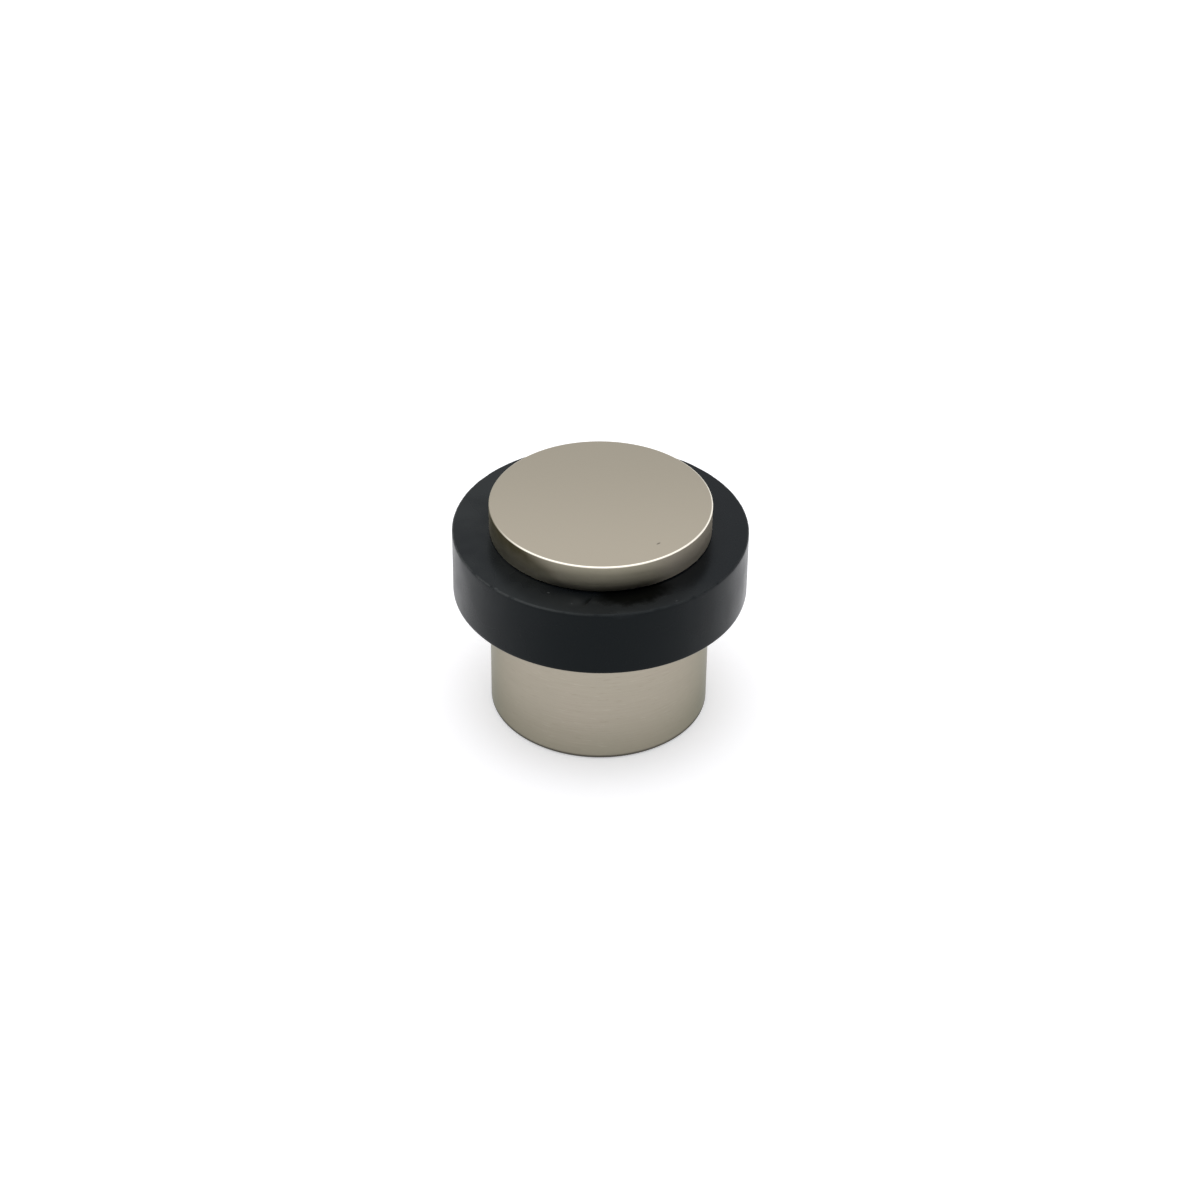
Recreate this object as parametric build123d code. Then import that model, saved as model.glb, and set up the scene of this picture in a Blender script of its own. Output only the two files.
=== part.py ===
from build123d import *
from math import radians, tan
import os

# Floor door stop: a turned base, a rubber ring round its neck, and a cap that screws down on the ring.
# It stands on the floor at Z = 0 with its axis along +Z. Sizes are in millimetres.

# Driving dimensions of what shows.
metal_diameter = 30.0  # base and cap, turned from the same bar
ring_diameter = 40.0  # rubber, standing proud of the metal all round
base_height = 18.4  # floor to the shoulder that carries the ring
ring_height = 9.6
cap_height = 4.0

# Neck of the base, inside the ring.
neck_diameter = 20.0
ring_clearance = 0.1  # on the radius, between neck and ring
cap_nip = 0.3  # the neck stops this short of the cap, so the cap bears on the rubber

# Stud under the cap and its socket in the neck, both plain at the thread's outside diameter.
thread_diameter = 14.0
thread_clearance = 0.1  # on the radius
stud_length = 8.0
relief_width = 1.5  # groove under the cap, where the thread runs out
relief_depth = 1.0
socket_run_out = 2.0  # room under the stud, above the head of the fixing screw

# Hole for the fixing screw, countersunk in the socket's floor.
screw_hole_diameter = 5.5
screw_head_diameter = 10.4
countersink_angle = 90.0  # across the cone, in degrees

# Edges.
cap_edge_radius = 0.2
ring_edge_chamfer = 0.15
ring_bore_chamfer = 0.5  # eases the ring over the neck
foot_chamfer = 0.25
turned_edge_chamfer = 0.2
neck_top_chamfer = 0.6
thread_lead_chamfer = 0.9
screw_hole_chamfer = 0.3

# Radii and heights that follow from them.
metal_radius = metal_diameter / 2
ring_radius = ring_diameter / 2
neck_radius = neck_diameter / 2
ring_bore_radius = neck_radius + ring_clearance
stud_radius = thread_diameter / 2
relief_radius = stud_radius - relief_depth
socket_radius = stud_radius + thread_clearance
screw_hole_radius = screw_hole_diameter / 2
screw_head_radius = screw_head_diameter / 2
countersink_depth = (screw_head_radius - screw_hole_radius) / tan(radians(countersink_angle / 2))

floor = 0.0
shoulder = floor + base_height
cap_underside = shoulder + ring_height
cap_top = cap_underside + cap_height
neck_top = cap_underside - cap_nip
relief_foot = cap_underside - relief_width
stud_end = cap_underside - stud_length
socket_floor = stud_end - socket_run_out
countersink_foot = socket_floor - countersink_depth

same_size = 1e-6  # lengths this close count as the same


def turned(*section):
    """Solid turned about Z, from the corners of half its section as (radius, height)."""
    return revolve(Plane.XZ * make_face(Polyline(*section, close=True)), Axis.Z)


def rim(solid, radius, height):
    """Round edge of that radius at that height."""
    circles = solid.edges().filter_by(GeomType.CIRCLE)
    return circles.filter_by(
        lambda edge: abs(edge.radius - radius) < same_size and abs(edge.arc_center.Z - height) < same_size
    )


def make_base_body():
    """Base, its neck, the stud's socket and the countersunk screw hole, bored on one axis."""
    body = turned(
        (screw_hole_radius, floor),
        (metal_radius, floor),
        (metal_radius, shoulder),
        (neck_radius, shoulder),
        (neck_radius, neck_top),
        (socket_radius, neck_top),
        (socket_radius, socket_floor),
        (screw_head_radius, socket_floor),
        (screw_hole_radius, countersink_foot),
    )
    body = chamfer(rim(body, metal_radius, floor), foot_chamfer)
    body = chamfer(rim(body, metal_radius, shoulder), turned_edge_chamfer)
    body = chamfer(rim(body, neck_radius, neck_top), neck_top_chamfer)
    body = chamfer(rim(body, socket_radius, neck_top), thread_lead_chamfer)
    return chamfer(rim(body, screw_hole_radius, floor), screw_hole_chamfer)


def make_rubber_ring():
    """Square ring of solid rubber, held between the shoulder and the cap."""
    ring = turned(
        (ring_bore_radius, shoulder),
        (ring_radius, shoulder),
        (ring_radius, cap_underside),
        (ring_bore_radius, cap_underside),
    )
    for face in (shoulder, cap_underside):
        ring = chamfer(rim(ring, ring_radius, face), ring_edge_chamfer)
        ring = chamfer(rim(ring, ring_bore_radius, face), ring_bore_chamfer)
    return ring


def make_top_cap():
    """Cap with the stud that draws it down on the ring."""
    axis = 0.0
    cap = turned(
        (axis, stud_end),
        (stud_radius, stud_end),
        (stud_radius, relief_foot),
        (relief_radius, relief_foot),
        (relief_radius, cap_underside),
        (metal_radius, cap_underside),
        (metal_radius, cap_top),
        (axis, cap_top),
    )
    cap = fillet(rim(cap, metal_radius, cap_top), cap_edge_radius)
    cap = chamfer(rim(cap, metal_radius, cap_underside), turned_edge_chamfer)
    return chamfer(rim(cap, stud_radius, stud_end), thread_lead_chamfer)


pieces = {
    "base_body": make_base_body(),
    "rubber_ring": make_rubber_ring(),
    "top_cap": make_top_cap(),
}

os.makedirs("parts", exist_ok=True)
for name, piece in pieces.items():
    export_step(piece, f"parts/{name}.step")
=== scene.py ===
import math

import bpy
from mathutils import Matrix, Vector, noise


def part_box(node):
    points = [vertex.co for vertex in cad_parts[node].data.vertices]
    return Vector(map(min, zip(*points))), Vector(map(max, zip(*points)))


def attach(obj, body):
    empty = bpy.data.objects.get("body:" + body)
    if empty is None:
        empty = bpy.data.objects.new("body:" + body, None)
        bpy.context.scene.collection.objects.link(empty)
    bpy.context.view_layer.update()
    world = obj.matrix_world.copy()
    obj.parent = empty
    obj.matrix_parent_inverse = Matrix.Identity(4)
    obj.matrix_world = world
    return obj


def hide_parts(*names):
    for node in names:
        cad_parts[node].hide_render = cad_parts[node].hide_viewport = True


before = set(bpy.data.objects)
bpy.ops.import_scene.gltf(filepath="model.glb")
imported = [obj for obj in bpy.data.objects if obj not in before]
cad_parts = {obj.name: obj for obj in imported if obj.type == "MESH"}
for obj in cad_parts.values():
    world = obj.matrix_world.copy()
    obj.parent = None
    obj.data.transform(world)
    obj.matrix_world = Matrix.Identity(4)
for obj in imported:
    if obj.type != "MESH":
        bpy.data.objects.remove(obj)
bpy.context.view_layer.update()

# Floor door stop: satin nickel base and cap with a black rubber ring between them.
# Lengths are in metres and given in millimetres times MM. Angles about the axis are in degrees
# from the front (-Y), and grow to the right (+X). Colours are linear.
MM = 0.001
WHITE = (1.0, 1.0, 1.0, 1.0)

# Camera, fitted to the object's outlines in the photograph.
PHOTO_WIDTH = 1200  # pixels
FOCAL_LENGTH = 2839.46  # pixels
SENSOR_WIDTH = 36.0
CAMERA_TARGET = Vector((0.0456, 0.0, 15.7506)) * MM
CAMERA_DISTANCE = 389.06 * MM
CAMERA_ELEVATION = math.radians(36.291)
CAMERA_ROLL = math.radians(0.687)
CAMERA_CLIP = 1 * MM  # nearest distance that it sees

# Light and floor.
AMBIENT = 0.2  # white surroundings, as they light the object
BACKGROUND = 1.0  # the same surroundings, as they are seen
SOFTBOX_WIDTH = 3.0
SOFTBOX_DISTANCE = 2.1
SOFTBOX_TOWARDS = Vector((-0.01, 0.05, 1.0)).normalized()
SOFTBOX_RADIANCE = 0.5
FILL_RADIANCE = 2.0  # a second lamp in the same place, which the metal does not mirror
FLOOR_WIDTH = 6.0
FLOOR_WHITE = (0.88, 0.88, 0.91, 1.0)  # a little blue, against the warm light off the metal
FLOOR_LIFT = 0.42  # added to the lit paper where it is seen, so that it is white away from the shadow
FLOOR_FADE = (0.1, 0.5)  # distances from the object between which the paper goes over into plain white

# Form of the cap, with the stud that is hidden under it.
CAP_SEGMENTS = 360
RIM_RADIUS = 0.2 * MM
RIM_STEPS = 12
RIM_MARGIN = 0.05 * MM  # narrow strips beside the rounded rim, which keep the wall and the top true
CAP_CHAMFER = 0.2 * MM
STUD_RADIUS = 7 * MM
STUD_LEAD = 0.9 * MM
RELIEF_RADIUS = 6 * MM
RELIEF_WIDTH = 1.5 * MM

# Form of the rubber ring.
RING_SEGMENTS = 720
EDGE_RADIUS = 0.25 * MM
EDGE_STEPS = 6
EDGE_WEAR = 0.5  # share by which the edge radius wanders
EDGE_NOISE = ((9, 0.5), (31, 0.4), (83, 0.4))  # how fine each part of that wandering is, and its weight
BORE_CHAMFER = 0.5 * MM
HIDDEN_STEPS = 4  # faces that the metal covers
SIDE_STEPS = 24
TOP_STEPS = 48
WAVE_SIZE = 4 * MM
WAVE_DEPTH = 0.03 * MM
GOUGE_START = (15.9 * MM, -3.9)  # radius and angle
GOUGE_END = (18.0 * MM, -6.6)
GOUGE_WIDTH = 0.28 * MM
GOUGE_DEPTH = 0.15 * MM
GOUGE_TAPER = 0.1  # share of half a sine wave left out at each end, so that the ends keep some depth

SHARP_ANGLE = math.radians(40)  # edges that turn by more stay crisp

# Marks on level faces: radius and angle of the middle, half lengths along and across the rim, and lean.
MARK_DEPTH = 1 * MM
CAP_SPECK = (12.16 * MM, 38.8, 0.42 * MM, 0.16 * MM, 2.2)
RING_SPECKS = (
    (16.6 * MM, -23.7, 0.22 * MM, 0.16 * MM, 0.0),
    (17.9 * MM, -11.7, 0.16 * MM, 0.12 * MM, 0.0),
    (19.4 * MM, 31.0, 0.2 * MM, 0.12 * MM, 0.0),
    (19.8 * MM, -43.0, 0.4 * MM, 0.25 * MM, 0.0),
)
RING_SMUDGES = (
    (17.4 * MM, -11.4, 1.7 * MM, 1.3 * MM, 0.0),
    (17.0 * MM, -1.0, 1.5 * MM, 0.9 * MM, 0.0),
    (19.7 * MM, 9.2, 2.6 * MM, 0.7 * MM, 0.0),
)
# Painted shade on the ring's top under the cap's edge, and painted shade in the gouge.
RING_SHADE = (15.6 * MM, 16.5, 7.0 * MM, 3.6 * MM, 0.0)
GOUGE_SHADE = (16.9 * MM, -5.2, 0.45 * MM, 1.5 * MM, -21.0)

# Looks. A band is the stretch of values, places or distances over which a look comes or goes,
# a share is how much of it shows, and a tone is its colour.
WHOLE = (0.0, 1.0)
GRAIN_MIDDLE = 0.5
GRAIN_BAND = (0.3, 0.7)
GRAIN_DETAIL = 2.0
FINE_DETAIL = 3.0

# Satin nickel: marks from turning, painted shade that darkens the base towards its foot, and a painted
# contact shadow where it meets the floor.
STREAK_SIZES = (6 * MM, 6 * MM, 0.16 * MM)
STREAK_TONES = ((0.355, 0.319, 0.259), (0.383, 0.344, 0.281))
STREAK_DEPTH = 0.02 * MM
STREAK_STRENGTH = 0.05
CLOUD_SIZE = 9 * MM
CLOUD_SHARE = 0.5
CLOUD_TONE = (0.363, 0.335, 0.27)
NICK_SIZES = (1.8 * MM, 1.8 * MM, 0.2 * MM)
NICK_SHARE = 0.5
BRIGHT_NICK_BAND = (0.62, 0.74)
BRIGHT_NICK_TONE = (0.44, 0.4, 0.33)
DARK_NICK_BAND = (0.26, 0.38)
DARK_NICK_TONE = (0.3, 0.27, 0.215)
# Painted shade: the base is darker towards its foot, where it mirrors the shadowed floor.
FOOT_BAND = (0.0, 9 * MM)
FOOT_SHADE_SHARE = 0.35
FOOT_SHADE_TONE = (0.238, 0.233, 0.172)
# Painted contact shadow: a thin dark line where the base meets the floor.
CONTACT_SHADOW_BAND = (0.3 * MM, 0.75 * MM)
CONTACT_SHADOW_SHARE = 0.95
CONTACT_SHADOW_TONE = (0.06, 0.057, 0.05)
SATIN_BAND = (-0.25, 0.25)  # streaks about their middle
SATIN_ROUGHNESS = (0.28, 0.36)
NICKEL_EDGE_TINT = (0.62, 0.64, 0.61, 1.0)

# Satin nickel of the cap: its top with painted light, and on its wall a painted dark reflection on the
# left, haze with a painted sheen on the right, and plain metal.
CAP_TOP_BAND = (-0.15 * MM, -0.02 * MM)  # from the cap's top
# Painted light: the cap's top is painted lighter at the front and darker at the back, as the lamp falls on
# it.
CAP_TOP_REACH = (-16 * MM, 16 * MM)
CAP_TOP_PAINTED_LIGHT_TONES = ((0.446, 0.402, 0.33), (0.373, 0.338, 0.278))  # front and back
CAP_FOOT_BAND = (-1 * MM, -0.5 * MM)  # from the cap's foot
CAP_FRONT_BAND = (-5 * MM, 5 * MM)
# Painted reflection: a dark reflection painted on the left of the cap's wall, darkest at the top of the
# wall, with a leaning edge and more roughness.
DARK_REFLECTION_END = -3.6 * MM
DARK_REFLECTION_FULL = -4 * MM  # at the cap's foot
# way that the full painted dark reflection draws back to the left, for each step up the wall
DARK_REFLECTION_LEAN = -2.0  # way that full tarnish draws back to the left, for each step up the wall
DARK_REFLECTION_TONES = ((0.27, 0.253, 0.198), (0.066, 0.056, 0.024))  # foot and top of the wall
DARK_REFLECTION_ROUGHNESS = 0.12  # added, as are the next two
HAZE_ROUGHNESS = 0.16
PLAIN_ROUGHNESS = 0.065
MOTTLE_SIZE = 2 * MM
MOTTLE_SHARES = (0.87, 1.0)
# Haze on the right of the cap's wall: more roughness, and a painted sheen that makes the wall lighter at
# its foot against the dark ring it mirrors.
HAZE_BAND = (5 * MM, 10 * MM)
HAZE_SHEEN_SHARE = 0.8
HAZE_SHEEN_TONES = ((0.405, 0.368, 0.308), (0.335, 0.302, 0.248))  # foot and top of the wall
PLAIN_TONE = (0.38, 0.352, 0.271)
# Painted shade: the cap's wall is darkened just above its foot, where it meets the ring; on the front left
# it goes over into the painted dark reflection.
JOINT_BAND = (0.2 * MM, 1.5 * MM)  # from the cap's foot
JOINT_END = (-9 * MM, -5 * MM)  # the dark joint with the ring goes over into the tarnish
JOINT_SHADE_SHARE = 0.85
JOINT_SHADE_TONE = (0.04, 0.039, 0.034)
CAP_SPECK_BAND = (0.0, 0.5)
CAP_SPECK_TONE = (0.18, 0.162, 0.135)
# Pale rim: a polished edge, painted paler than the rest of the metal so that its highlight clips to white;
# it is left out on the far left.
RIM_BAND = (0.12 * MM, 0.2 * MM)  # from the corner
RIM_END = (-14.5 * MM, -9.5 * MM)
RIM_POLISH_AND_HIGHLIGHT_TONE = (1.0, 0.95, 0.85)

# Black rubber: dust on the left, smears at both ends of the side, and a film on the front of the top.
RUBBER_TONES = ((0.0012, 0.0016, 0.0018), (0.002, 0.0028, 0.0042))  # side and top
RUBBER_IOR = 1.225
RUBBER_TINT = (0.78, 0.93, 1.0, 1.0)
RUBBER_GRAIN = 0.25 * MM
RUBBER_GRAIN_DEPTH = 0.03 * MM
RUBBER_GRAIN_STRENGTH = 0.04
RING_TOP_BAND = (-0.3 * MM, -0.1 * MM)  # from the ring's top
PATCH_SIZE = 7 * MM
PATCH_ROUGHNESS = (0.2, 0.32)
LEFT_END_BAND = (-19.5 * MM, -14 * MM)
LEFT_END_ROUGHNESS = 0.07  # added
DUST_BAND = (0.2, 0.7)
DUST_REACH = (-12 * MM, 0.0)
DUST_SHARES = (0.25, 1.0)  # side and top
DUST_TONE = (0.013, 0.0145, 0.0155)
SMEAR_SIZES = (2.2 * MM, 2.2 * MM, 6 * MM)
SMEAR_DETAIL = 1.5
SMEAR_BAND = (0.4, 0.7)
SMEAR_REACH = (9 * MM, 17 * MM)  # to either side
SMEAR_SHARE = 0.5
SMEAR_TONE = (0.0165, 0.0182, 0.0195)
FILM_BAND = (15.5 * MM, 18.5 * MM)  # radius
FILM_END = (-16 * MM, -11 * MM)
FILM_SHARE = 0.45
FILM_TONE = (0.014, 0.0155, 0.0165)

# Black rubber: scuffed upper edge, smudges, specks, painted shade on the top by the cap's edge, and
# painted shade in the gouge.
SCUFF_BAND = (0.1 * MM, 0.32 * MM)  # from the corner
SCUFF_SIZE = 1.3 * MM
SCUFF_GRAIN_BAND = (0.2, 0.55)
SCUFF_REACH = (-10 * MM, 0.0)
SCUFF_SHARES = (1.0, 0.3)  # left and right
SCUFF_TONE = (0.06, 0.063, 0.063)
SMUDGE_BAND = (0.0, 0.7)
SMUDGE_GRAIN_BAND = (0.3, 0.6)
SMUDGE_SHARE = 0.7
SMUDGE_TONE = (0.017, 0.0185, 0.02)
RING_SPECK_BAND = (0.0, 0.6)
RING_SPECK_TONE = (0.045, 0.048, 0.05)
# The painted shade by the cap's edge and in the gouge: its colour is darkened, and it is glossier with a
# lower specular level.
SHADE_BAND = (0.0, 0.5)
SHADE_EDGE_SIZE = 1.5 * MM  # raggedness of the patch's edge
SHADE_EDGE_BAND = (0.25, 0.75)
SHADE_EDGE_LEVELS = (-0.2, 0.0)
PAINTED_SHADE_TONE = (0.0006, 0.0008, 0.0008)
SHADE_GLOSS = (1.0, 0.35)  # part of the roughness that is kept, outside and inside
SHADE_SPECULAR = (0.5, 0.12)  # outside and inside
GOUGE_SHADE_SHARE = 0.6


def polar(radius, angle, height=0.0):
    """Point at that radius and angle about the axis."""
    turn = math.radians(angle)
    return Vector((radius * math.sin(turn), -radius * math.cos(turn), height))


def from_height(height, band):
    """Heights of a band that is given from another height."""
    return [height + end for end in band]


class Nodes:
    """Shader nodes of one tree. Their inputs are numbers, colours or sockets of other nodes."""

    def __init__(self, tree):
        self.tree = tree

    def give(self, socket, value):
        """Sets a socket to a value, or joins it to another socket."""
        if isinstance(value, bpy.types.NodeSocket):
            self.tree.links.new(value, socket)
        else:
            socket.default_value = value

    def add(self, kind, inputs=None, **settings):
        """New node of that kind."""
        made = self.tree.nodes.new("ShaderNode" + kind)
        for name, value in settings.items():
            setattr(made, name, value)
        for name, value in (inputs or {}).items():
            self.give(made.inputs[name], value)
        return made

    def calculate(self, operation, first, second=0.0):
        return self.add("Math", {0: first, 1: second}, operation=operation).outputs[0]

    def product(self, first, *others):
        for value in others:
            first = self.calculate("MULTIPLY", first, value)
        return first

    def total(self, first, *others):
        for value in others:
            first = self.calculate("ADD", first, value)
        return first

    def difference(self, first, second):
        return self.calculate("SUBTRACT", first, second)

    def larger(self, first, second):
        return self.calculate("MAXIMUM", first, second)

    def fade(self, value, band, levels):
        """Level that turns smoothly from the first to the second as the value crosses the band."""
        start, end = band
        first, second = levels
        inputs = {"Value": value, "From Min": start, "From Max": end, "To Min": first, "To Max": second}
        return self.add("MapRange", inputs, interpolation_type="SMOOTHSTEP").outputs["Result"]

    def rise(self, value, band, level=1.0):
        """Level that comes up from 0 as the value crosses the band."""
        return self.fade(value, band, (0.0, level))

    def fall(self, value, band, level=1.0):
        """Level that goes down to 0 as the value crosses the band."""
        return self.fade(value, band, (level, 0.0))

    def blend(self, share, first, second):
        """Colour between two others, the second where the share is 1."""
        made = self.add("Mix", data_type="RGBA")
        inputs = {socket.name: socket for socket in made.inputs if socket.enabled}
        self.give(inputs["Factor"], share)
        for name, colour in (("A", first), ("B", second)):
            self.give(inputs[name], (*colour, 1.0) if isinstance(colour, tuple) else colour)
        return [socket for socket in made.outputs if socket.enabled][0]

    def paint(self, colour, layers):
        """Colour with others laid over it in turn, each given by its share and its tone."""
        for share, tone in layers:
            colour = self.blend(share, colour, tone)
        return colour

    def seen(self):
        """1 where the camera sees a thing, straight or mirrored, and 0 where it only lights others."""
        path = self.add("LightPath").outputs
        mirrored = self.larger(path["Is Glossy Ray"], path["Is Transmission Ray"])
        return self.larger(path["Is Camera Ray"], mirrored)


class Surface(Nodes):
    """A new material, with a point's place on the object and its radius and height."""

    def __init__(self, name):
        self.material = bpy.data.materials.new(name)
        self.material.use_nodes = True
        super().__init__(self.material.node_tree)
        self.place = self.add("TexCoord").outputs["Object"]
        apart = self.add("SeparateXYZ", {0: self.place}).outputs
        flat = self.add("CombineXYZ", {0: apart["X"], 1: apart["Y"]}).outputs[0]
        self.radius = self.add("VectorMath", {0: flat}, operation="LENGTH").outputs["Value"]
        self.sideways = apart["X"]
        self.backward = apart["Y"]
        self.height = apart["Z"]

    def shade(self, name, value):
        """Gives the material's shader one of its inputs."""
        self.give(self.tree.nodes["Principled BSDF"].inputs[name], value)

    def raise_by(self, height, depth, strength):
        bump = self.add("Bump", {"Height": height, "Strength": strength, "Distance": depth})
        self.shade("Normal", bump.outputs[0])

    def grain(self, size, detail=GRAIN_DETAIL):
        """Even noise about its middle, with features of about that size."""
        inputs = {"Vector": self.place, "Scale": 1 / size, "Detail": detail}
        return self.add("TexNoise", inputs).outputs["Fac"]

    def long_grain(self, sizes, detail=GRAIN_DETAIL):
        """The same with features of those sizes along X, Y and Z."""
        inputs = {0: self.place, 1: [1 / size for size in sizes]}
        place = self.add("VectorMath", inputs, operation="MULTIPLY").outputs[0]
        return self.add("TexNoise", {"Vector": place, "Scale": 1.0, "Detail": detail}).outputs["Fac"]

    def mark(self, height, shape):
        """Soft oval on the level face at that height, 1 in its middle and 0 outside."""
        radius, angle, half_length, half_width, lean = shape
        inputs = {
            "Vector": self.place,
            "Location": polar(radius, angle, height),
            "Rotation": (0, 0, math.radians(angle + lean)),
            "Scale": (half_length, half_width, MARK_DEPTH),
        }
        seen = self.add("Mapping", inputs, vector_type="TEXTURE").outputs[0]
        return self.add("TexGradient", {"Vector": seen}, gradient_type="SPHERICAL").outputs["Fac"]

    def near_rim(self, corner, band):
        """1 at the corner (radius as X, height as Z), down to 0 over the band of distances from it."""
        inward = self.difference(corner.x, self.radius)
        downward = self.difference(corner.z, self.height)
        return self.fall(self.larger(inward, downward), band)


class CapZones:
    """Shares of the cap that its looks cover: its top, and on its wall a painted dark reflection, haze
    with a painted sheen, and plain metal.
    """

    def __init__(self, nickel):
        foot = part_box("rubber_ring")[1].z
        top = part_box("top_cap")[1].z
        cap = nickel.rise(nickel.height, from_height(foot, CAP_FOOT_BAND))
        self.top = nickel.rise(nickel.height, from_height(top, CAP_TOP_BAND))
        self.below_top = nickel.difference(1.0, self.top)
        self.wall = nickel.product(cap, self.below_top)
        self.front = nickel.product(self.wall, nickel.fall(nickel.backward, CAP_FRONT_BAND))
        lean = nickel.product(nickel.difference(nickel.height, foot), DARK_REFLECTION_LEAN)
        full = nickel.total(lean, DARK_REFLECTION_FULL)
        self.painted_dark_reflection = nickel.product(nickel.fall(nickel.sideways, (full, DARK_REFLECTION_END)), self.front)
        self.haze_and_painted_sheen = nickel.product(nickel.rise(nickel.sideways, HAZE_BAND), self.wall)
        self.plain = nickel.difference(self.wall, nickel.larger(self.painted_dark_reflection, self.haze_and_painted_sheen))


def add_object(name, data):
    made = bpy.data.objects.new(name, data)
    bpy.context.scene.collection.objects.link(made)
    return made


def turned_colour(nickel, streaks):
    """Colour of the turned metal, with painted shade towards the base's foot and a painted contact shadow
    at the floor.
    """
    clouds = nickel.grain(CLOUD_SIZE)
    nicks = nickel.long_grain(NICK_SIZES)
    layers = [
        (nickel.rise(clouds, GRAIN_BAND, CLOUD_SHARE), CLOUD_TONE),
        (nickel.rise(nicks, BRIGHT_NICK_BAND, NICK_SHARE), BRIGHT_NICK_TONE),
        (nickel.fall(nicks, DARK_NICK_BAND, NICK_SHARE), DARK_NICK_TONE),
        # painted shade towards the foot, then the painted contact shadow at the floor
        (nickel.fall(nickel.height, FOOT_BAND, FOOT_SHADE_SHARE), FOOT_SHADE_TONE),
        (nickel.fall(nickel.height, CONTACT_SHADOW_BAND, CONTACT_SHADOW_SHARE), CONTACT_SHADOW_TONE),
    ]
    return nickel.paint(nickel.blend(nickel.rise(streaks, GRAIN_BAND), *STREAK_TONES), layers)


def cap_colour(nickel, colour, zones):
    """The same colour with the cap's top and its painted light, the wall's painted reflection, sheen and
    shade, the speck, and the pale rim with its painted highlight laid over it.
    """
    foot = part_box("rubber_ring")[1].z
    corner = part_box("top_cap")[1]
    across = nickel.rise(nickel.backward, CAP_TOP_REACH)
    climb = nickel.rise(nickel.height, (foot, corner.z))
    mottle = nickel.fade(nickel.grain(MOTTLE_SIZE), GRAIN_BAND, MOTTLE_SHARES)
    # front left of the wall, under the painted dark reflection
    under_dark_reflection = nickel.product(nickel.fall(nickel.sideways, JOINT_END), zones.front)
    bare = nickel.difference(zones.wall, nickel.larger(under_dark_reflection, zones.haze_and_painted_sheen))
    joint = nickel.fall(nickel.height, from_height(foot, JOINT_BAND), JOINT_SHADE_SHARE)
    rim = nickel.near_rim(corner, RIM_BAND)
    layers = [
        # the cap's top, with its painted light from front to back
        (zones.top, nickel.blend(across, *CAP_TOP_PAINTED_LIGHT_TONES)),
        # painted dark reflection on the left of the wall
        (nickel.product(zones.painted_dark_reflection, mottle), nickel.blend(climb, *DARK_REFLECTION_TONES)),
        # haze with its painted sheen on the right of the wall
        (nickel.product(zones.haze_and_painted_sheen, HAZE_SHEEN_SHARE), nickel.blend(climb, *HAZE_SHEEN_TONES)),
        (zones.plain, PLAIN_TONE),
        # painted shade where the cap meets the ring
        (nickel.product(joint, bare), JOINT_SHADE_TONE),
        (nickel.rise(nickel.mark(corner.z, CAP_SPECK), CAP_SPECK_BAND), CAP_SPECK_TONE),
        # pale rim: polished, and painted pale for its highlight
        (nickel.product(rim, nickel.rise(nickel.sideways, RIM_END)), RIM_POLISH_AND_HIGHLIGHT_TONE),
    ]
    return nickel.paint(colour, layers)


def satin_nickel():
    """Plated metal: faint marks round the walls from turning, a plain top with painted light from front to
    back, and a rim that is polished and painted pale for its highlight.
    """
    nickel = Surface("satin_nickel")
    zones = CapZones(nickel)
    streaks = nickel.long_grain(STREAK_SIZES, FINE_DETAIL)
    nickel.shade("Base Color", cap_colour(nickel, turned_colour(nickel, streaks), zones))
    marks = nickel.product(nickel.difference(streaks, GRAIN_MIDDLE), zones.below_top)
    roughness = nickel.total(
        nickel.fade(marks, SATIN_BAND, SATIN_ROUGHNESS),
        nickel.product(zones.plain, PLAIN_ROUGHNESS),
        nickel.product(zones.painted_dark_reflection, DARK_REFLECTION_ROUGHNESS),
        nickel.product(zones.haze_and_painted_sheen, HAZE_ROUGHNESS),
    )
    nickel.shade("Roughness", roughness)
    nickel.shade("Metallic", 1.0)
    nickel.shade("Specular Tint", NICKEL_EDGE_TINT)
    nickel.raise_by(streaks, STREAK_DEPTH, STREAK_STRENGTH)
    return nickel.material


def ring_shade(rubber, top):
    """Share of the painted shade by the cap's edge, with a ragged edge, and of the painted shade in the
    gouge.
    """
    ragged = rubber.fade(rubber.grain(SHADE_EDGE_SIZE, FINE_DETAIL), SHADE_EDGE_BAND, SHADE_EDGE_LEVELS)
    patch = rubber.rise(rubber.total(rubber.mark(top, RING_SHADE), ragged), SHADE_BAND)
    gouge = rubber.rise(rubber.mark(top, GOUGE_SHADE), WHOLE, GOUGE_SHADE_SHARE)
    return rubber.larger(patch, gouge)


def scuffed_edge(rubber, corner):
    """Share of the scuffs along the ring's upper edge."""
    edge = rubber.near_rim(corner, SCUFF_BAND)
    rubbed = rubber.rise(rubber.grain(SCUFF_SIZE, FINE_DETAIL), SCUFF_GRAIN_BAND)
    worn = rubber.fade(rubber.sideways, SCUFF_REACH, SCUFF_SHARES)
    return rubber.product(edge, rubbed, worn)


def ring_marks(rubber, top, smears):
    """Layers of the smudges and the specks on the ring's top."""
    uneven = rubber.rise(smears, SMUDGE_GRAIN_BAND)
    layers = []
    for shape in RING_SMUDGES:
        smudge = rubber.rise(rubber.mark(top, shape), SMUDGE_BAND, SMUDGE_SHARE)
        layers.append((rubber.product(smudge, uneven), SMUDGE_TONE))
    for shape in RING_SPECKS:
        speck = rubber.rise(rubber.mark(top, shape), RING_SPECK_BAND)
        layers.append((speck, RING_SPECK_TONE))
    return layers


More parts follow.
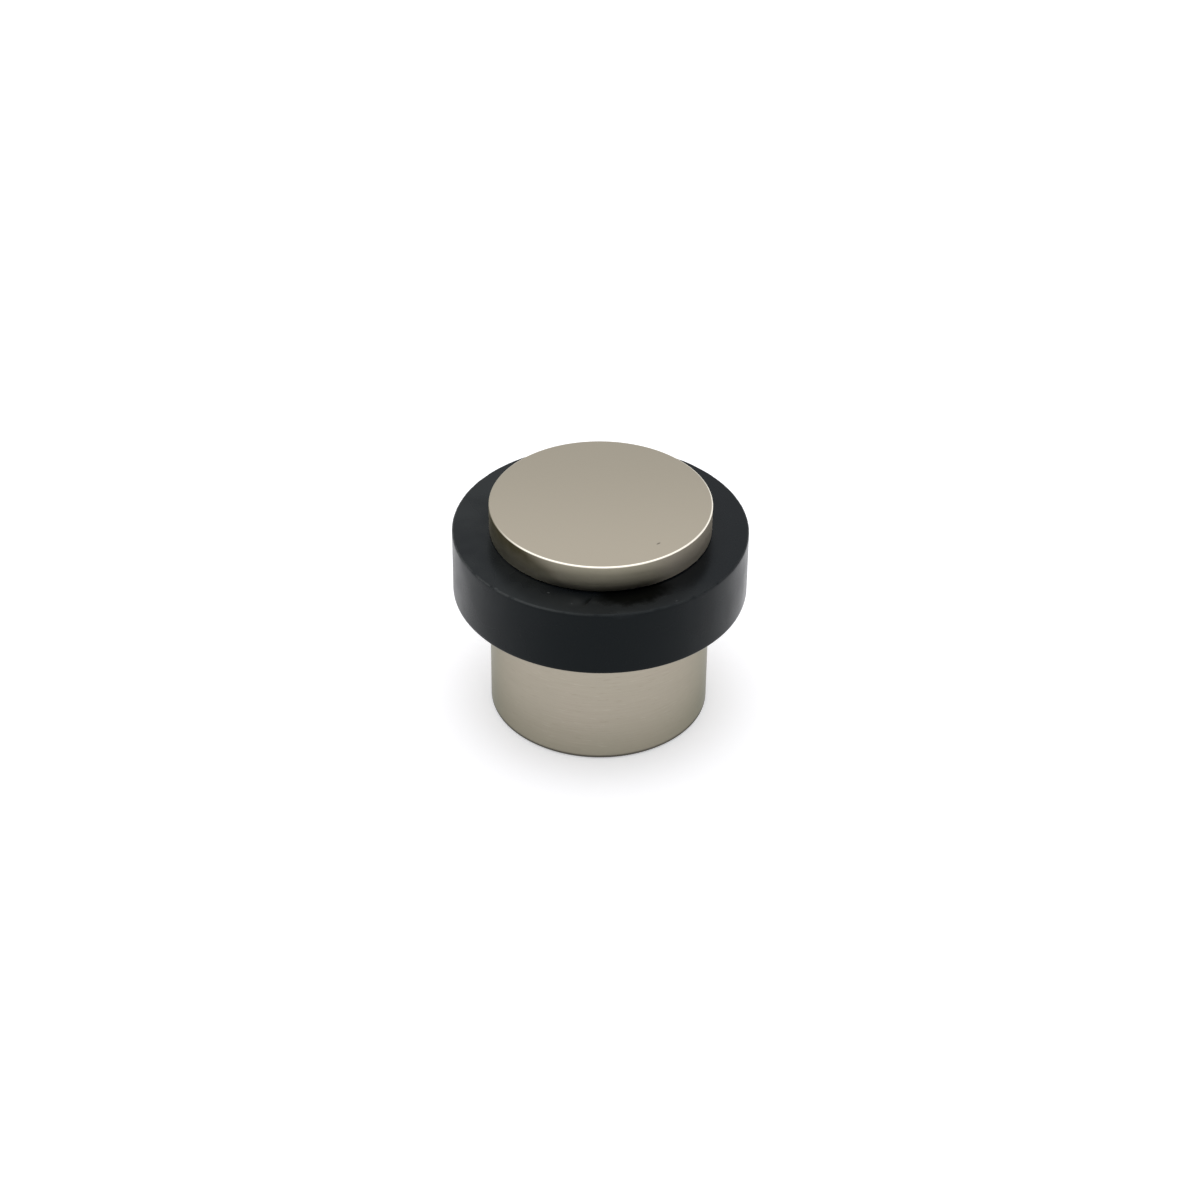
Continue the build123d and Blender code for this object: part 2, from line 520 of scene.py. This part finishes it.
def rubber_colour(rubber, corner, on_top, on_side, patches):
    """Black, with dust, smears, a film, the scuffed edge, smudges and specks laid over it."""
    smears = rubber.long_grain(SMEAR_SIZES, SMEAR_DETAIL)
    dusty = rubber.product(rubber.rise(patches, DUST_BAND), rubber.fall(rubber.sideways, DUST_REACH))
    ends = rubber.rise(rubber.calculate("ABSOLUTE", rubber.sideways), SMEAR_REACH)
    outer = rubber.rise(rubber.radius, FILM_BAND, FILM_SHARE)
    front = rubber.fall(rubber.backward, FILM_END)
    layers = [
        (rubber.product(dusty, rubber.fade(on_top, WHOLE, DUST_SHARES)), DUST_TONE),
        (rubber.product(rubber.rise(smears, SMEAR_BAND, SMEAR_SHARE), ends, on_side), SMEAR_TONE),
        (rubber.product(outer, front, on_top), FILM_TONE),
        (scuffed_edge(rubber, corner), SCUFF_TONE),
        *ring_marks(rubber, corner.z, smears),
    ]
    return rubber.paint(rubber.blend(on_top, *RUBBER_TONES), layers)


def black_rubber():
    """Smooth moulded rubber with a thin film of dust, a scuffed upper edge and painted shade by the cap's
    edge.
    """
    rubber = Surface("black_rubber")
    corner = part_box("rubber_ring")[1]
    on_top = rubber.rise(rubber.height, from_height(corner.z, RING_TOP_BAND))
    on_side = rubber.difference(1.0, on_top)
    patches = rubber.grain(PATCH_SIZE)
    shade = ring_shade(rubber, corner.z)
    colour = rubber_colour(rubber, corner, on_top, on_side, patches)
    # painted shade by the cap's edge and in the gouge
    rubber.shade("Base Color", rubber.blend(shade, colour, PAINTED_SHADE_TONE))
    left_end = rubber.product(rubber.fall(rubber.sideways, LEFT_END_BAND, LEFT_END_ROUGHNESS), on_side)
    roughness = rubber.total(rubber.fade(patches, GRAIN_BAND, PATCH_ROUGHNESS), left_end)
    rubber.shade("Roughness", rubber.product(roughness, rubber.fade(shade, WHOLE, SHADE_GLOSS)))
    rubber.shade("Specular IOR Level", rubber.fade(shade, WHOLE, SHADE_SPECULAR))
    rubber.shade("IOR", RUBBER_IOR)
    rubber.shade("Specular Tint", RUBBER_TINT)
    rubber.raise_by(rubber.grain(RUBBER_GRAIN), RUBBER_GRAIN_DEPTH, RUBBER_GRAIN_STRENGTH)
    return rubber.material


def arc(centre, radius, start, end, steps):
    """Points (radius, height) along part of a circle, both ends included."""
    turns = [start + (end - start) * i / steps for i in range(steps + 1)]
    return [(centre[0] + radius * math.cos(a), centre[1] + radius * math.sin(a)) for a in turns]


def run(start, end, steps):
    """Points between two corners, with neither corner itself."""
    shares = [i / steps for i in range(1, steps)]
    return [(start[0] + (end[0] - start[0]) * s, start[1] + (end[1] - start[1]) * s) for s in shares]


def spoke(step, steps):
    """Unit vector out from the axis at one of the steps round it."""
    turn = 2 * math.pi * step / steps
    return Vector((math.cos(turn), math.sin(turn), 0))


def turned_object(name, sections, closed, material):
    """Object through one section per step round the axis; an open section gets a disc at each end."""
    count = len(sections[0])
    vertices = [point for section in sections for point in section]
    first_centre = len(vertices)
    last_centre = first_centre + 1
    faces = []
    for i in range(len(sections)):
        here = i * count
        there = (i + 1) % len(sections) * count
        for j in range(count if closed else count - 1):
            k = (j + 1) % count
            faces.append((here + j, there + j, there + k, here + k))
        if not closed:
            faces.append((there, here, first_centre))
            faces.append((here + count - 1, there + count - 1, last_centre))
    if not closed:
        vertices += [Vector((0, 0, end.z)) for end in (sections[0][0], sections[0][-1])]
    mesh = bpy.data.meshes.new(name)
    mesh.from_pydata(vertices, [], faces)
    mesh.shade_smooth()
    mesh.set_sharp_from_angle(angle=SHARP_ANGLE)
    mesh.materials.append(material)
    return add_object(name, mesh)


def turned_cap(material):
    """Cap and stud with a fine rounded rim, in place of the coarser solid."""
    low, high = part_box("top_cap")
    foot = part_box("rubber_ring")[1].z
    outside = high.x
    inner = outside - RIM_RADIUS
    shoulder = high.z - RIM_RADIUS
    corners = [
        (STUD_RADIUS - STUD_LEAD, low.z),
        (STUD_RADIUS, low.z + STUD_LEAD),
        (STUD_RADIUS, foot - RELIEF_WIDTH),
        (RELIEF_RADIUS, foot - RELIEF_WIDTH),
        (RELIEF_RADIUS, foot),
        (outside - CAP_CHAMFER, foot),
        (outside, foot + CAP_CHAMFER),
        (outside, shoulder - RIM_MARGIN),
        *arc((inner, shoulder), RIM_RADIUS, 0, math.pi / 2, RIM_STEPS),
        (inner - RIM_MARGIN, high.z),
    ]
    up = Vector((0, 0, 1))
    spokes = [spoke(i, CAP_SEGMENTS) for i in range(CAP_SEGMENTS)]
    sections = [[out * radius + up * height for radius, height in corners] for out in spokes]
    return turned_object("turned_cap", sections, False, material)


def ring_section(bore, covered, outside, foot, top, low_edge, high_edge):
    """Corners of the ring's section as (radius, height), once round."""
    low_arc = arc((outside - low_edge, foot + low_edge), low_edge, -math.pi / 2, 0, EDGE_STEPS)
    high_arc = arc((outside - high_edge, top - high_edge), high_edge, 0, math.pi / 2, EDGE_STEPS)
    bore_low = [(bore, foot + BORE_CHAMFER), (bore + BORE_CHAMFER, foot)]
    bore_high = [(bore + BORE_CHAMFER, top), (bore, top - BORE_CHAMFER)]
    return (
        bore_low
        + run(bore_low[-1], low_arc[0], HIDDEN_STEPS)
        + low_arc
        + run(low_arc[-1], high_arc[0], SIDE_STEPS)
        + high_arc
        + run(high_arc[-1], (covered, top), TOP_STEPS)
        + [(covered, top)]
        + run((covered, top), bore_high[0], HIDDEN_STEPS)
        + bore_high
    )


def gouge_depth(point):
    """Depth of the small gouge in the ring's top at that point."""
    start = polar(*GOUGE_START)
    line = polar(*GOUGE_END) - start
    share = min(max((point - start).dot(line) / line.length_squared, 0.0), 1.0)
    away = (point - start - line * share).length / GOUGE_WIDTH
    along = GOUGE_TAPER + (1 - 2 * GOUGE_TAPER) * share
    return GOUGE_DEPTH * max(0.0, 1 - away * away) * math.sin(math.pi * along)


def rubber_ring(material):
    """Ring with uneven moulded edges and faintly wavy faces, in place of the plain solid."""
    low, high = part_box("rubber_ring")
    outside = high.x
    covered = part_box("top_cap")[1].x
    bore = min(v.co.xy.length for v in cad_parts["rubber_ring"].data.vertices)
    sections = []
    for i in range(RING_SEGMENTS):
        out = spoke(i, RING_SEGMENTS)
        uneven = sum(noise.noise(out * fineness) * weight for fineness, weight in EDGE_NOISE)
        edge = EDGE_RADIUS * (1 + EDGE_WEAR * uneven)
        section = []
        for radius, height in ring_section(bore, covered, outside, low.z, high.z, EDGE_RADIUS, edge):
            point = out * radius
            point.z = height
            wave = WAVE_DEPTH * (1 + noise.noise(point / WAVE_SIZE)) / 2
            if radius > covered and height > high.z - edge:
                rise = (height - high.z + edge) / edge
                inside = min((radius - covered) / EDGE_RADIUS, 1.0)
                point.z -= (wave + gouge_depth(out * radius)) * rise * inside
            if radius > outside - edge / 2:
                point -= out * wave
            section.append(point)
        sections.append(section)
    return turned_object("buffer_ring", sections, True, material)


def set_camera():
    level = Vector((1, 0, 0))
    back = Vector((0, -math.cos(CAMERA_ELEVATION), math.sin(CAMERA_ELEVATION)))
    up = back.cross(level)
    turn = Matrix.Rotation(CAMERA_ROLL, 3, back)
    axes = Matrix((turn @ level, turn @ up, back)).transposed().to_4x4()
    lens = bpy.data.cameras.new("camera")
    lens.sensor_width = SENSOR_WIDTH
    lens.lens = SENSOR_WIDTH * FOCAL_LENGTH / PHOTO_WIDTH
    lens.clip_start = CAMERA_CLIP
    camera = add_object("camera", lens)
    camera.matrix_world = Matrix.Translation(CAMERA_TARGET + back * CAMERA_DISTANCE) @ axes
    bpy.context.scene.camera = camera


def white_surroundings():
    """World that is white to the camera and in reflections, and lights the object less."""
    world = bpy.data.worlds.new("surroundings")
    bpy.context.scene.world = world
    world.use_nodes = True
    nodes = Nodes(world.node_tree)
    background = nodes.tree.nodes["Background"].inputs
    nodes.give(background["Strength"], nodes.fade(nodes.seen(), WHOLE, (AMBIENT, BACKGROUND)))
    nodes.give(background["Color"], WHITE)


def softbox(name, radiance, mirrored):
    """Large round lamp above the object."""
    area = math.pi * SOFTBOX_WIDTH**2 / 4
    light = bpy.data.lights.new(name, "AREA")
    light.shape = "DISK"
    light.size = SOFTBOX_WIDTH
    light.energy = radiance * math.pi * area
    made = add_object(name, light)
    made.visible_glossy = mirrored
    made.location = SOFTBOX_TOWARDS * SOFTBOX_DISTANCE
    made.rotation_euler = SOFTBOX_TOWARDS.to_track_quat("Z", "Y").to_euler()
    made.visible_camera = False


def floor():
    """White paper that keeps the object's shadow."""
    half = FLOOR_WIDTH / 2
    corners = [(-half, -half, 0), (half, -half, 0), (half, half, 0), (-half, half, 0)]
    mesh = bpy.data.meshes.new("floor")
    mesh.from_pydata(corners, [], [(0, 1, 2, 3)])
    paper = Surface("white_paper")
    paper.shade("Base Color", FLOOR_WHITE)
    paper.shade("Roughness", 1.0)
    paper.shade("Specular IOR Level", 0.0)
    paper.shade("Emission Color", WHITE)
    lift = paper.fade(paper.radius, FLOOR_FADE, (FLOOR_LIFT, BACKGROUND))
    paper.shade("Emission Strength", paper.product(paper.seen(), lift))
    mesh.materials.append(paper.material)
    add_object("floor", mesh)


nickel = satin_nickel()
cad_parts["base_body"].material_slots[0].material = nickel

cap = turned_cap(nickel)
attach(cap, "root")
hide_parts("top_cap")

ring = rubber_ring(black_rubber())
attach(ring, "root")
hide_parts("rubber_ring")

set_camera()
white_surroundings()
softbox("softbox", SOFTBOX_RADIANCE, True)
softbox("fill", FILL_RADIANCE, False)
floor()
bpy.context.scene.view_settings.view_transform = "Standard"
